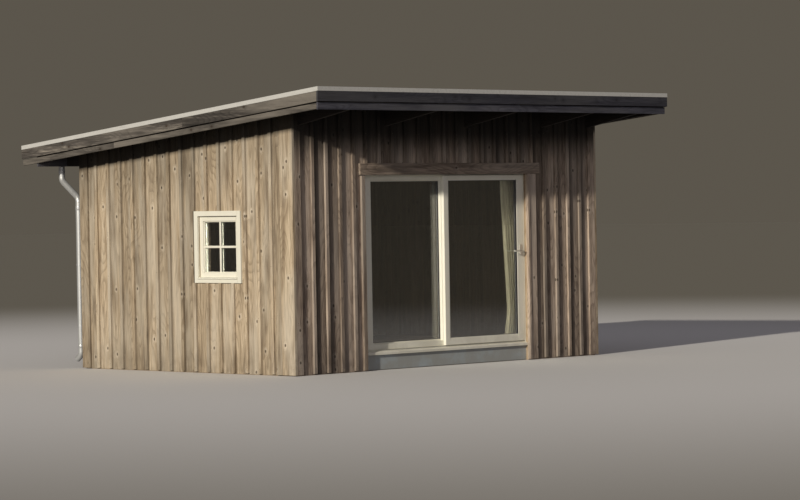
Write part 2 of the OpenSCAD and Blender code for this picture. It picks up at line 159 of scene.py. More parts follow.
def finish_piece(name, me, mat, body=POD, smooth=0, hides=None):
    """The object of a mesh; edges flatter than smooth, in degrees, are shaded smooth."""
    ob = bpy.data.objects.new(name, me)
    bpy.context.scene.collection.objects.link(ob)
    me.materials.append(M[mat])
    if smooth:
        me.shade_smooth()
        me.set_sharp_from_angle(angle=math.radians(smooth))
    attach(ob, body)
    if hides:
        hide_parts(hides)
    return ob


def face_board(w, t, c, cup=0.0, cuts=1):
    """A plank's outline with its outer edges eased and its face slightly cupped."""
    pts = [(-w / 2, 0), (w / 2, 0), (w / 2, t - c), (w / 2 - c, t)]
    for i in range(1, cuts):
        v = (w / 2 - c) * (1 - 2 * i / cuts)
        pts.append((v, t + cup * (1 - (2 * v / w) ** 2)))
    return pts + [(-w / 2 + c, t), (-w / 2, t - c)]


def bar(pile, xs, ys, zs, c):
    """A straight bar along the longest of its three extents, with its long edges rounded in two steps."""
    lims = [xs, ys, zs]
    spans = [b - a for a, b in lims]
    axis = spans.index(max(spans))
    ends = lims.pop(axis)
    (a0, a1), (b0, b1) = lims
    c = min(c, min(spans) * 0.3)
    k = c * 0.3
    outline = [(a0 + c, b0), (a1 - c, b0), (a1 - k, b0 + k), (a1, b0 + c), (a1, b1 - c), (a1 - k, b1 - k),
               (a1 - c, b1), (a0 + c, b1), (a0 + k, b1 - k), (a0, b1 - c), (a0, b0 + c), (a0 + k, b0 + k)]
    pile.sweep([[(*p[:axis], s, *p[axis:]) for p in outline] for s in ends])


def four_bars(pile, axis, depth, across, up, w, c, butt=True):
    """Bars of width w along the inside of a rectangle, square to axis: left, right, bottom, top.

    The bottom and top ones butt against the others, or else run over them in the corners.
    """
    (a0, a1), (z0, z1), k = across, up, w if butt else 0.0
    for wide, high in (((a0, a0 + w), up), ((a1 - w, a1), up),
                       ((a0 + k, a1 - k), (z0, z0 + w)), ((a0 + k, a1 - k), (z1 - w, z1))):
        lims = [wide, high]
        lims.insert(axis, depth)
        bar(pile, *lims, c)


def tube(pile, path, r, sides, closed=False):
    """A round tube along a path of points, with its rings kept from twisting."""
    pts = [Vector(p) for p in path]
    rings, up = [], None
    for i, p in enumerate(pts):
        if closed:
            d = pts[(i + 1) % len(pts)] - pts[i - 1]
        else:
            d = pts[min(i + 1, len(pts) - 1)] - pts[max(i - 1, 0)]
        d.normalize()
        up = d.orthogonal().normalized() if up is None else (up - d * up.dot(d)).normalized()
        rings.append(circle(p, up, d.cross(up), r[i] if isinstance(r, list) else r, sides))
    pile.sweep(rings, closed=closed)


def bent_path(points, r, steps=8):
    """A path through corner points with each inner corner rounded to radius r."""
    pts = [Vector(p) for p in points]
    out = [pts[0]]
    for a, b, c in zip(pts, pts[1:], pts[2:]):
        u, w = (a - b).normalized(), (c - b).normalized()
        half = u.angle(w) / 2
        reach = min(r / math.tan(half), (a - b).length * 0.49, (c - b).length * 0.49)
        mid = b + (u + w).normalized() * (reach / math.cos(half))
        e0, e1 = b + u * reach - mid, b + w * reach - mid
        turn = e0.angle(e1)
        for i in range(steps + 1):
            t = i / steps
            out.append(mid + (e0 * math.sin((1 - t) * turn) + e1 * math.sin(t * turn)) / math.sin(turn))
    return out + [pts[-1]]


def two_lengths(s0, cut, s1, gap):
    """The ends of two planks that meet at cut."""
    return (s0, cut - gap), (cut + gap, s1)


# -------- materials


def rgba(c):
    return c if isinstance(c, bpy.types.NodeSocket) else (*c, 1.0)


def scaled(c, *k):
    """A colour times one factor, or times one for each channel."""
    return tuple(a * b for a, b in zip(c, k * 3 if len(k) == 1 else k))


class Graph:
    """A short way to write a node tree."""

    def __init__(self, nt):
        self.nt = nt

    def put(self, socket, value):
        if isinstance(value, bpy.types.NodeSocket):
            self.nt.links.new(value, socket)
        else:
            socket.default_value = value

    def node(self, kind, ins=None, out=0, **props):
        """A new node with its inputs set; gives one of its outputs, or all where out is None."""
        n = self.nt.nodes.new(kind)
        for k, v in props.items():
            setattr(n, k, v)
        for k, v in (ins or {}).items():
            self.put(n.inputs[k], v)
        return n.outputs if out is None else n.outputs[out]

    def math(self, op, a, b=0.0, c=None):
        ins = {0: a, 1: b}
        if c is not None:
            ins[2] = c
        return self.node("ShaderNodeMath", ins, operation=op)

    def times(self, a, b):
        return self.math("MULTIPLY", a, b)

    def vec(self, op, a, b):
        return self.node("ShaderNodeVectorMath", {0: a, 1: b}, operation=op)

    def along(self, p, axis, k):
        """Coordinates squeezed along an axis, so that a pattern is drawn out that way."""
        squeeze = [1.0, 1.0, 1.0]
        squeeze[axis] = k
        return self.vec("MULTIPLY", p, tuple(squeeze))

    def span(self, x, a, b, lo=0.0, hi=1.0):
        """A smooth step from lo at a to hi at b."""
        ins = {0: x, 1: a, 2: b, 3: lo, 4: hi}
        return self.node("ShaderNodeMapRange", ins, interpolation_type="SMOOTHSTEP")

    def noise(self, p, scale, detail, rough=0.5):
        ins = {"Vector": p, "Scale": scale, "Detail": detail, "Roughness": rough}
        return self.node("ShaderNodeTexNoise", ins)

    def cells(self, p, scale, **props):
        return self.node("ShaderNodeTexVoronoi", {"Vector": p, "Scale": scale}, None, **props)

    def mix(self, fac, a, b, blend="MIX"):
        ins = {0: fac, 6: rgba(a), 7: rgba(b)}
        return self.node("ShaderNodeMix", ins, 2, data_type="RGBA", blend_type=blend)

    def ramp(self, x, stops):
        n = self.nt.nodes.new("ShaderNodeValToRGB")
        cr = n.color_ramp
        while len(cr.elements) < len(stops):
            cr.elements.new(0.5)
        for e, (pos, c) in zip(cr.elements, stops):
            e.position, e.color = pos, (*c, 1.0)
        self.put(n.inputs[0], x)
        return n.outputs[0]

    def coords(self):
        return self.node("ShaderNodeTexCoord", out=3)

    def split(self, v):
        return self.node("ShaderNodeSeparateXYZ", {0: v}, None)

    def join(self, x, y, z=0.0):
        return self.node("ShaderNodeCombineXYZ", {0: x, 1: y, 2: z})

    def seen(self):
        """1 for the rays that show a background: straight, in a mirror or through glass."""
        rays = self.node("ShaderNodeLightPath", out=None)
        beyond = self.math("MAXIMUM", rays["Is Glossy Ray"], rays["Is Transmission Ray"])
        return self.math("MAXIMUM", rays["Is Camera Ray"], beyond)


class Tree(Graph):
    """The node tree of a new material."""

    def __init__(self, name):
        self.mat = bpy.data.materials.new(name)
        self.mat.use_nodes = True
        super().__init__(self.mat.node_tree)
        self.nt.nodes.clear()
        self.out = self.nt.nodes.new("ShaderNodeOutputMaterial")
        self.bsdf = self.nt.nodes.new("ShaderNodeBsdfPrincipled")
        self.nt.links.new(self.bsdf.outputs[0], self.out.inputs[0])

    def bump(self, height, strength, distance):
        ins = {"Height": height, "Strength": strength, "Distance": distance}
        self.put(self.bsdf.inputs["Normal"], self.node("ShaderNodeBump", ins))

    def set(self, **vals):
        names = {"color": "Base Color", "rough": "Roughness", "metal": "Metallic", "ior": "IOR",
                 "trans": "Transmission Weight", "sheen": "Sheen Weight", "spec": "Specular IOR Level"}
        for k, v in vals.items():
            self.put(self.bsdf.inputs[names[k]], rgba(v) if k == "color" else v)
        return self.mat


def wood(name, axis, dark, mid, light, silver=None, halo=None, knot=(0.035, 0.022, 0.014), tone=(0.72, 1.18),
         ring=0.5, knots=0.85, few=0.64, silvering=0.5, gloomy=0.55, grime=0.0, eave_shade_and_tone=None, rough=0.85,
         bump=0.6):
    """Sawn or planed timber with its grain along an axis, and a shade of its own for each plank.

    few is the share of the cells without a knot, and tone the range of the planks' shades.
    """
    t = Tree(name)
    co = t.coords()
    xyz = t.split(co)
    shade, u, w = t.split(t.node("ShaderNodeAttribute", out=1, attribute_name="board"))
    p = t.vec("ADD", co, t.join(t.times(u, 3.1), t.times(w, 2.7), t.math("ADD", u, w)))
    grain, figure, cracks = (t.along(p, axis, k) for k in (0.045, 0.16, 0.012))
    fibre = t.noise(grain, 110.0, 5, 0.65)
    streak = t.noise(grain, 19.0, 4, 0.6)
    # Knots: cells across the face and along the grain, only some of which hold one
    across = t.math("ADD", xyz[(axis + 1) % 3], xyz[(axis + 2) % 3])
    spot = t.join(t.math("ADD", across, t.times(u, 1.7)),
                  t.math("ADD", t.times(xyz[axis], 0.72), t.times(w, 2.3)))
    cell = t.cells(spot, 5.0, voronoi_dimensions="2D")
    here = t.math("GREATER_THAN", t.split(cell["Color"])[0], few)
    wob = t.math("MULTIPLY_ADD", t.math("SUBTRACT", t.noise(p, 60.0, 2), 0.5), 0.03, cell["Distance"])
    near = t.times(t.span(wob, 0.26, 0.05), here)
    core = t.times(t.span(wob, 0.085, 0.045), here)
    # Growth rings: the contour lines of a stretched noise, bent around the knots
    rings = t.times(t.math("MULTIPLY_ADD", near, 0.16, t.noise(figure, 4.6, 1.0, 0.4)), 21.0)
    saw = t.math("FRACT", rings)
    line = t.times(t.span(saw, 0.45, 0.97), t.span(saw, 1.0, 0.97))
    check = t.span(t.noise(cracks, 170.0, 2, 0.5), 0.66, 0.73)
    weave = t.math("MULTIPLY_ADD", fibre, 0.5, t.times(streak, 0.5))
    base = t.ramp(weave, [(0.32, dark), (0.5, mid), (0.66, light)])
    base = t.mix(t.times(line, ring), base, dark)
    if silver:
        patch = t.noise(figure, 3.2, 3, 0.55)
        base = t.mix(t.times(t.span(patch, 0.42, 0.64), silvering), base, silver)
    gloom = t.noise(t.vec("ADD", figure, (3.7, 1.9, 5.3)), 6.0, 3, 0.6)
    base = t.mix(t.times(t.span(gloom, 0.50, 0.72), gloomy), base, dark)
    if halo:
        fleck = t.span(t.noise(figure, 42.0, 3, 0.6), 0.40, 0.62, 0.15, 0.85)
        base = t.mix(t.times(near, fleck), base, halo)
    else:
        base = t.mix(t.times(near, 0.35), base, dark)
    base = t.mix(t.times(core, knots), base, knot)
    base = t.mix(t.times(check, 0.6), base, knot)
    if grime:
        low = t.times(t.span(xyz[2], 0.55, 0.0), t.span(t.noise(p, 7.0, 3), 0.3, 0.7, 0.3, 1.0))
        base = t.mix(t.times(low, grime), base, scaled(dark, 0.5))
    shade = t.math("MAXIMUM", t.math("MULTIPLY_ADD", shade, tone[1] - tone[0], tone[0]), 0.2)
    if eave_shade_and_tone:
        # Under the roof the wood is darker, as painted shade under the overhang and partly as the less
        # weathered wood
        # that the roof keeps dry: to the share deep between two depths below the deck, and to the share high
        # over the last metre
        begin, end, deep, high = eave_shade_and_tone
        depth = t.math("SUBTRACT", deck_z(0.0), t.math("MULTIPLY_ADD", xyz[1], SLOPE, xyz[2]))
        shade = t.times(shade, t.span(depth, begin, end, 1.0, deep))
        shade = t.times(shade, t.span(depth, 1.00, 0.30, 1.0, high))
    tint = t.node("ShaderNodeCombineColor", {0: shade, 1: shade, 2: t.times(shade, 0.985)})
    base = t.mix(1.0, base, tint, "MULTIPLY")
    height = t.math("SUBTRACT", t.math("MULTIPLY_ADD", line, -0.25, fibre), t.times(check, 0.7))
    t.bump(t.math("MULTIPLY_ADD", core, 0.3, height), bump, 0.0025)
    return t.set(color=base, rough=t.span(streak, 0.3, 0.7, rough - 0.08, min(1.0, rough + 0.06)), spec=0.25)


def paint(name, colour, rough=0.42, axis=2, dirt=0.10):
    """Brushed paint on wood, slightly uneven, with dust low down."""
    t = Tree(name)
    co = t.coords()
    stroke = t.noise(t.along(co, axis, 0.06), 240.0, 3, 0.6)
    cloud = t.noise(co, 5.0, 4, 0.6)
    base = t.mix(t.times(t.span(cloud, 0.35, 0.7), 0.5), colour, scaled(colour, 0.93, 0.92, 0.88))
    dust = t.times(t.span(t.split(co)[2], 0.5, 0.17), t.span(cloud, 0.3, 0.6))
    base = t.mix(t.times(dust, dirt * 2), base, (0.30, 0.28, 0.24))
    t.bump(t.math("MULTIPLY_ADD", cloud, 0.3, stroke), 0.10, 0.0008)
    return t.set(color=base, rough=t.span(cloud, 0.3, 0.7, rough - 0.05, rough + 0.08))


def zinc(name, colour, metal, rough=0.40, flow=2):
    """Galvanised sheet: a faint spangle, and streaks down its run."""
    t = Tree(name)
    co = t.coords()
    spangle = t.split(t.cells(co, 70.0)["Color"])[0]
    run = t.noise(t.along(co, flow, 0.08), 30.0, 4, 0.6)
    base = t.mix(t.times(spangle, 0.35), colour, scaled(colour, 0.82))
    base = t.mix(t.times(t.span(run, 0.52, 0.75), 0.5), base, (0.36, 0.35, 0.33))
    t.bump(t.noise(co, 14.0, 2), 0.10, 0.002)
    return t.set(color=base, metal=metal, rough=t.span(run, 0.3, 0.7, rough - 0.08, rough + 0.14))


def felt():
    """Mineral-surfaced roofing felt: fine chips, with paler worn areas."""
    t = Tree("roofing_felt")
    co = t.coords()
    grit = t.split(t.cells(co, 420.0)["Color"])[0]
    worn = t.noise(t.along(co, 1, 0.35), 2.2, 4, 0.6)
    base = t.ramp(grit, [(0.0, (0.030, 0.031, 0.033)), (0.6, (0.060, 0.062, 0.066)), (1.0, (0.17, 0.17, 0.17))])
    base = t.mix(t.times(t.span(worn, 0.45, 0.7), 0.45), base, (0.13, 0.13, 0.12))
    t.bump(grit, 0.5, 0.0012)
    return t.set(color=base, rough=0.94, spec=0.2)


def glass():
    """Clear glass that lets direct light through to the room."""
    t = Tree("clear_glass")
    t.set(color=(0.955, 0.965, 0.960), trans=1.0, rough=0.0, ior=1.5)
    through = t.node("ShaderNodeBsdfTransparent", {0: (0.86, 0.87, 0.865, 1.0)})
    is_shadow = t.node("ShaderNodeLightPath", out=1)
    t.put(t.out.inputs[0], t.node("ShaderNodeMixShader", {0: is_shadow, 1: t.bsdf.outputs[0], 2: through}))
    return t.mat


def steel(name, colour, rough):
    """Brushed metal with a faint lengthwise scratch."""
    t = Tree(name)
    co = t.coords()
    soft = t.noise(co, 40.0, 3)
    t.bump(t.noise(t.along(co, 0, 0.05), 900.0, 2, 0.5), 0.06, 0.0003)
    base = t.mix(t.times(soft, 0.35), colour, scaled(colour, 0.8))
    return t.set(color=base, metal=1.0, rough=t.span(soft, 0.3, 0.7, rough - 0.06, rough + 0.10))


def plain(name, colour, rough, grain, strength=0.15):
    """Rubber, dull metal and such: a little mottled and a little rough."""
    t = Tree(name)
    n = t.noise(t.coords(), grain, 4, 0.6)
    t.bump(n, strength, 0.001)
    return t.set(color=t.mix(t.times(n, 0.5), colour, scaled(colour, 0.7)), rough=rough)


def cloth(name, colour, light):
    """Woven curtain cloth: fine crossed threads and thicker slubs."""
    t = Tree(name)
    co = t.coords()
    xyz = t.split(co)
    weft = t.math("SINE", t.times(xyz[2], 4200.0))
    warp = t.math("SINE", t.times(t.math("ADD", xyz[0], xyz[1]), 4200.0))
    slub = t.noise(t.along(co, 2, 0.06), 160.0, 3, 0.6)
    threads = t.times(t.math("ADD", weft, warp), 0.25)
    t.bump(t.math("MULTIPLY_ADD", slub, 1.5, threads), 0.25, 0.0006)
    base = t.mix(t.span(slub, 0.35, 0.7), colour, light)
    base = t.mix(t.times(t.noise(co, 5.0, 3), 0.3), base, scaled(colour, 0.8))
    return t.set(color=base, rough=0.9, sheen=0.25)


# Both woods darken under the roof by their last entry: painted shade under the overhang, and partly the less
# weathered wood there
SIDE_WOOD = dict(dark=(0.145, 0.104, 0.066), mid=(0.445, 0.353, 0.246), light=(0.650, 0.546, 0.402),
                 silver=(0.530, 0.475, 0.390), halo=(0.640, 0.555, 0.440), tone=(0.74, 1.16), ring=0.42,
                 knots=0.8, silvering=0.6, gloomy=0.68, grime=0.35, eave_shade_and_tone=(0.35, 0.27, 0.14, 0.80))
FRONT_WOOD = dict(dark=(0.074, 0.053, 0.042), mid=(0.350, 0.276, 0.217), light=(0.560, 0.456, 0.362),
                  silver=(0.465, 0.403, 0.346), halo=(0.440, 0.376, 0.312), tone=(0.62, 1.22), ring=0.40,
                  knots=0.8, grime=0.35, eave_shade_and_tone=(0.76, 0.30, 0.06, 1.0))
M = {
    "front": wood("weathered_front_boards", 2, **FRONT_WOOD),
    "side": wood("weathered_side_boards", 2, **SIDE_WOOD),
    "header": wood("weathered_header_board", 0, few=0.9, **FRONT_WOOD),
    # Soffit boards, rafters and blocks are near black: a dark stain, and partly painted shade under the
    # overhang
    "roof_x": wood("soffit_boards_wood", 0, (0.011, 0.009, 0.008), (0.022, 0.018, 0.016), (0.038, 0.031, 0.026),
                   tone=(0.8, 1.2)),
    "roof_y": wood("rafter_wood", 1, (0.012, 0.010, 0.008), (0.025, 0.020, 0.017), (0.042, 0.034, 0.028),
                   tone=(0.8, 1.2)),
    "block": wood("block_wood", 0, (0.022, 0.018, 0.015), (0.045, 0.037, 0.031), (0.075, 0.062, 0.052)),
    "fascia": wood("fascia_stain", 0, (0.019, 0.019, 0.025), (0.044, 0.044, 0.057), (0.080, 0.079, 0.094),
                   silver=(0.085, 0.083, 0.088), knot=(0.012, 0.010, 0.010), tone=(0.72, 1.55), knots=0.35,
                   silvering=0.6),
    "barge": wood("bargeboard_stain", 1, (0.020, 0.018, 0.016), (0.078, 0.069, 0.062), (0.260, 0.232, 0.196),
                  silver=(0.225, 0.203, 0.176), tone=(0.80, 1.20), knots=0.8, silvering=0.75, gloomy=0.8),
    # The room's lining and floor are dark as painted shade of the dim room behind the glass
    "lining": wood("lining_wood", 2, (0.050, 0.034, 0.021), (0.088, 0.063, 0.041), (0.125, 0.093, 0.062),
                   knot=(0.030, 0.018, 0.010), tone=(0.88, 1.10), ring=0.35, knots=0.6, rough=0.6, bump=0.15),
    "floor": wood("floor_wood", 0, (0.062, 0.041, 0.025), (0.110, 0.076, 0.048), (0.155, 0.112, 0.073),
                  knot=(0.030, 0.016, 0.008), tone=(0.85, 1.12), ring=0.4, knots=0.6, rough=0.5, bump=0.12),
    "core": wood("reveal_wood", 2, (0.220, 0.155, 0.095), (0.380, 0.285, 0.190), (0.500, 0.400, 0.285),
                 knot=(0.09, 0.05, 0.03), tone=(0.9, 1.1), ring=0.4, knots=0.7, rough=0.75, bump=0.3),
    "white": paint("white_paint", (0.785, 0.765, 0.660)),
    "threshold": paint("blue_grey_paint", (0.355, 0.395, 0.410), rough=0.55, axis=0, dirt=0.25),
    "flashing": zinc("edge_flashing_metal", (0.61, 0.605, 0.575), 0.15, rough=0.5, flow=1),
    "gutter": zinc("gutter_metal", (0.50, 0.51, 0.52), 0.6, flow=0),
    "pipe": zinc("downpipe_metal", (0.50, 0.51, 0.51), 0.5, rough=0.42),
    "felt": felt(),
    "glass": glass(),
    "handle": steel("handle_steel", (0.76, 0.75, 0.71), 0.38),
    "nail": plain("nail_steel", (0.085, 0.070, 0.060), 0.55, 300.0),
    "gasket": plain("black_gasket", (0.015, 0.015, 0.016), 0.65, 200.0),
    "spacer": plain("pane_spacer", (0.045, 0.045, 0.047), 0.6, 200.0),
    "rail": plain("rail_enamel", (0.72, 0.71, 0.67), 0.35, 40.0, 0.05),
    "cloth": cloth("curtain_cloth", (0.335, 0.300, 0.205), (0.455, 0.415, 0.297)),
}


def dress(material, *names):
    """Gives a CAD node, whose shape is right as it is, its detailed material."""
    for n in names:
        me = nodes[n].data
        me.materials.clear()
        me.materials.append(M[material])


# -------- walls

# Where boards start above the ground, and their gaps to the deck, a rafter and a batten's middle
BOARD_FOOT, BATTEN_FOOT, CORNER_FOOT = 0.006, 0.015, 0.010
DECK_GAP, RAFTER_GAP = 0.004, 0.012
BOARD_GAP = 0.004
BOARD_T = {"front": 0.0052, "side": 0.0040}
CORNER_LEFT, CORNER_W = 0.132, 0.148


def on_front(z, v, n):
    return (v, FRONT + SKIN - n, z)


def on_rear(z, v, n):
    return (v, REAR - SKIN + n, z)


def on_left(z, v, n):
    return (-SIDE_X + SKIN - n, v, z)


def on_right(z, v, n):
    return (SIDE_X - SKIN + n, v, z)


def level(z):
    """An upper end at one height all along a wall."""
    return lambda v: z


def below(roof, gap):
    """An upper end that follows the roof."""
    return lambda v: roof(v) - gap


side_head = below(deck_z, DECK_GAP)


def flat_head(x, y):
    """A batten's upper end on the front or rear wall, under the deck or a rafter."""
    under = min(abs(x - r) for r in RAFTERS) < (RAFTER_W + BATTEN_W) / 2 + 0.003
    return deck_z(y) - (RAFTER + RAFTER_GAP if under else DECK_GAP)


def upright(pile, place, a, b, z0, top, outline, segs=7, mark=None):
    """A vertical plank between a and b on a wall; top(v) is its upper end at a distance along the wall."""
    mid = (a + b) / 2
    pile.plank(lambda t, v, n: place(z0 + t * (top(mid + v) - z0), mid + v, n), 0, 1, outline, segs, mark=mark)


def board_rows(pile, place, a, b, z0, top, t, hole=None, cup=0.0012, shade_and_dirt=0.8, reach=0.0):
    """A wide board from a to b, cut round the hole (a0, a1, z0, z1) if it meets it."""
    mark = pile.mark()
    cup *= pile.rng.uniform(-1.0, 1.0)
    lift = pile.rng.uniform(0.0, 0.0012)
    mid, width = (a + b) / 2, b - a

    def piece(c, d, foot, head):
        wide = d - c
        if wide < 0.004:
            return
        n = max(2, round(wide / 0.045))
        face = [c + wide * i / n for i in range(n, -1, -1)]
        marks = mark
        if shade_and_dirt and wide > 0.1:
            # Painted shade and some dirt beside the battens, with reach also a painted shadow farther out on
            # the side where the battens cast their shadow
            left, shadow_mark, right = [(mark[0] - k * shade_and_dirt, *mark[1:]) for k in (1.3, 0.5, 0.7)]
            edge, fade = 0.022, 0.038
            far = max(fade, min(reach, wide * 0.55))
            face = [d, d - edge] + [d - fade - (wide - fade - far) * i / n for i in range(n + 1)]
            marks = [left, right, right, right] + [mark] * (n + 1)
            if reach:
                face.append(c + 0.8 * far)
                marks.append(shadow_mark)
            face += [c + edge, c]
            marks += [left, left]
        pts = [(c, 0), (d, 0)] + [(v, t + lift + cup * (1 - (2 * (v - mid) / width) ** 2)) for v in face]
        pile.plank(lambda s, v, q: place(foot + s * (head(v) - foot), v, q), 0.0, 1.0, pts, 7, 0.0, marks)

    if not (hole and hole[0] < b and hole[1] > a):
        piece(a, b, z0, top)
        return
    h0, h1, low, high = hole
    if low > z0:
        piece(a, b, z0, level(low))
    piece(a, min(b, h0), max(low, z0), level(high))
    piece(max(a, h1), b, max(low, z0), level(high))
    piece(a, b, high, top)


nails = Pile(11)


def nail_rows(place, v, z0, z1, n, spread=0.0):
    """Nail heads up a plank whose face is at n, one in its middle or two near its edges."""
    out = Vector(place(0, 0, 1)) - Vector(place(0, 0, 0))
    rows = max(2, round((z1 - z0) / 0.58))
    for i in range(rows + 1):
        z = z0 + 0.06 + (z1 - z0 - 0.12) * i / rows + nails.rng.uniform(-0.012, 0.012)
        for d in ((-spread, spread) if spread else (0.0,)):
            nails.disc(place(z, v + d + nails.rng.uniform(-0.003, 0.003), n), out, 0.0036, 0.0007)


def nail(*centre, out=(0, -1, 0)):
    """A larger head, as in the boards round the roof and over the door."""
    nails.disc(centre, out, 0.004, 0.0008)


def wall_battens(name, seed, place, centres, spans, look, node):
    """Battens up a wall; spans(v) lists each length's foot, upper end and highest nail."""
    pile = Pile(seed)
    for c in centres:
        for z0, top, last in spans(c):
            outline = face_board(BATTEN_W, SKIN, 0.0020)
            upright(pile, place, c - BATTEN_W / 2, c + BATTEN_W / 2, z0, top, outline)
            nail_rows(place, c, z0, last, SKIN)
    pile.make(name, look, hides=node)


def wall_boards(name, seed, place, edges, top, look, hole=None, reach=0.0):
    """The wide boards of a wall, one between each two battens."""
    pile = Pile(seed)
    for a, b in zip(edges, edges[1:]):
        a, b = a + BOARD_GAP, b - BOARD_GAP
        board_rows(pile, place, a, b, BOARD_FOOT, top, BOARD_T[look], hole, reach=reach)
    pile.make(name, look)


def front_spans(x):
    over_door = HEAD_X0 - 0.028 < x < HEAD_X1 + 0.028
    z1 = flat_head(x, FRONT + SKIN)
    return [(HEAD_Z1 if over_door else BATTEN_FOOT, level(z1), z1)]


def rear_spans(x):
    z1 = flat_head(x, REAR)
    return [(BATTEN_FOOT, level(z1), z1)]


def left_spans(y):
    """A batten that meets the window stops at its casing and goes on above it."""
    if y + BATTEN_W / 2 <= WIN_Y0 - CASING_W or y - BATTEN_W / 2 >= WIN_Y1 + CASING_W:
        return [(BATTEN_FOOT, side_head, side_head(y))]
    low, high = WIN_Z0 - CASING_W, WIN_Z1 + CASING_W
    return [(BATTEN_FOOT, level(low), low), (high, side_head, side_head(y))]


def right_spans(y):
    return [(BATTEN_FOOT, side_head, deck_z(y))]


# The battens at both ends of the front wall stand off the even pitch, as in the photograph
shifts = [0.019] * 4 + [0.0] * 14 + [0.009] * 4
front_battens = [-SIDE_X + 0.309 + k * PITCH + shift for k, shift in enumerate(shifts)]
side_battens = [FRONT + 0.375 + k * SIDE_PITCH for k in range(15)]
rear_battens = [k * PITCH for k in range(-11, 12)]
front_edges = [-SIDE_X + 0.090, *front_battens, SIDE_X - 0.110]
side_edges = [FRONT + 0.280, *side_battens, REAR - 0.110]
rear_edges = [-SIDE_X + 0.110, *rear_battens, SIDE_X - 0.110]
door_hole = (DOOR_X0, DOOR_X1, -1.0, DOOR_TOP)
win_hole = (WIN_Y0, WIN_Y1, WIN_Z0, WIN_Z1)
under_deck = below(deck_z, 0.006)

wall_battens("front_batten_strips", 1, on_front, front_battens, front_spans, "front", "front_battens")
front_head, rear_head = (level(deck_z(y) - 0.003) for y in (FRONT + SKIN, REAR))
# On the front boards reach paints the battens' cast shadow darker, farther out beside each batten
wall_boards("front_boards", 2, on_front, front_edges, front_head, "front", door_hole, reach=0.115)
wall_boards("left_boards", 3, on_left, side_edges, under_deck, "side", win_hole)
wall_battens("left_batten_strips", 4, on_left, side_battens, left_spans, "side", "left_battens")
# The photograph doesn't show the right and rear walls
wall_boards("right_boards", 5, on_right, side_edges, under_deck, "side")
wall_battens("right_batten_strips", 6, on_right, side_battens, right_spans, "side", "right_battens")
wall_battens("rear_batten_strips", 7, on_rear, rear_battens, rear_spans, "front", "rear_battens")
wall_boards("rear_boards", 8, on_rear, rear_edges, rear_head, "front")

# Corner boards: the side board's edge shows beside the face board
pile = Pile(9)
for side in (on_left, on_right):
    for y0, y1 in ((FRONT, FRONT + 0.215), (FRONT + 0.216, FRONT + 0.310), (REAR - 0.145, REAR)):
        upright(pile, side, y0, y1, CORNER_FOOT, side_head, face_board(y1 - y0, SKIN, 0.002, 0.0008, 4))
        nail_rows(side, (y0 + y1) / 2, CORNER_FOOT, 2.6, SKIN, (y1 - y0) / 2 - 0.028)
pile.make("side_corner_boards", "side", hides="corner_boards")
pile = Pile(10)
for face, y, wide in ((on_front, FRONT, CORNER_LEFT), (on_rear, REAR, CORNER_W)):
    top = rafter_z(y) - DECK_GAP
    for x0, x1 in ((-SIDE_X + SKIN, -SIDE_X + wide), (SIDE_X - CORNER_W, SIDE_X - SKIN)):
        outline = face_board(x1 - x0 - 0.0008, SKIN, 0.002, 0.0006, 3)
        upright(pile, face, x0 + 0.0008, x1, CORNER_FOOT, level(top), outline)
        nail_rows(face, (x0 + x1) / 2, CORNER_FOOT, top, SKIN, 0.022)
        # A short piece goes on up to the deck beside the outermost rafter
        a, b = (x0, RAFTERS[0] - 0.026) if x0 < 0 else (RAFTERS[-1] + 0.026, x1)
        upright(pile, face, a, b, top, level(deck_z(y) - 0.008), face_board(b - a, SKIN, 0.002), 2)
pile.make("face_corner_boards", "front")

# Boards of the room's lining, inside each wall and let into it a little
pile = Pile(12)
LINING_W, LET_IN = 0.120, 0.002


def lined(place, a, b, top, hole=None):
    n = round((b - a) / LINING_W)
    for i in range(n):
        c, d = a + (b - a) * i / n, a + (b - a) * (i + 1) / n
        board_rows(pile, place, c + 0.0012, d - 0.0012, FLOOR, top, 0.004, hole, 0.0002, 0.0)


under_rafters = below(rafter_z, 0.002)
front_head = level(rafter_z(ROOM_Y0) - 0.003)
lined(lambda z, v, n: (v, ROOM_Y0 + n - LET_IN, z), -ROOM_X, ROOM_X, front_head, door_hole)
lined(lambda z, v, n: (v, ROOM_Y1 - n + LET_IN, z), -ROOM_X, ROOM_X, level(under_rafters(ROOM_Y1)))
lined(lambda z, v, n: (-ROOM_X + n - LET_IN, v, z), ROOM_Y0, ROOM_Y1, under_rafters, win_hole)
lined(lambda z, v, n: (ROOM_X - n + LET_IN, v, z), ROOM_Y0, ROOM_Y1, under_rafters)
pile.make("room_lining_boards", "lining")

dress("core", "front_wall_left", "front_wall_right", "front_wall_over_door", "left_wall_front",
      "left_wall_rear", "left_wall_under_window", "left_wall_over_window", "right_wall", "rear_wall",
      "door_sill_beam")
dress("roof_y", "top_beams", "rafters", "verge_rafters")
dress("block", "eave_blocks", "roof_deck")
dress("floor", "floor_frame")

pile = Pile(13)
rows, ease = 24, 0.002
for i in range(rows):
    a, b = (ROOM_Y0 + (ROOM_Y1 - ROOM_Y0) * k / rows for k in (i, i + 1))
    a, b = a + 0.0004, b - 0.0004
    side = FLOOR_T - ease
    outline = [(a, 0.0), (b, 0.0), (b, side), (b - ease, FLOOR_T), (a + ease, FLOOR_T), (a, side)]
    cut = -ROOM_X + pile.rng.uniform(1.2, 3.6)
    for s0, s1 in two_lengths(-ROOM_X, cut, ROOM_X, 0.0004):
        pile.plank(lambda s, v, n: (s, v, FLOOR - FLOOR_T + n), s0, s1, outline, 1, 0.0)
pile.make("floor_planks", "floor", hides="floor_boards")

# -------- roof

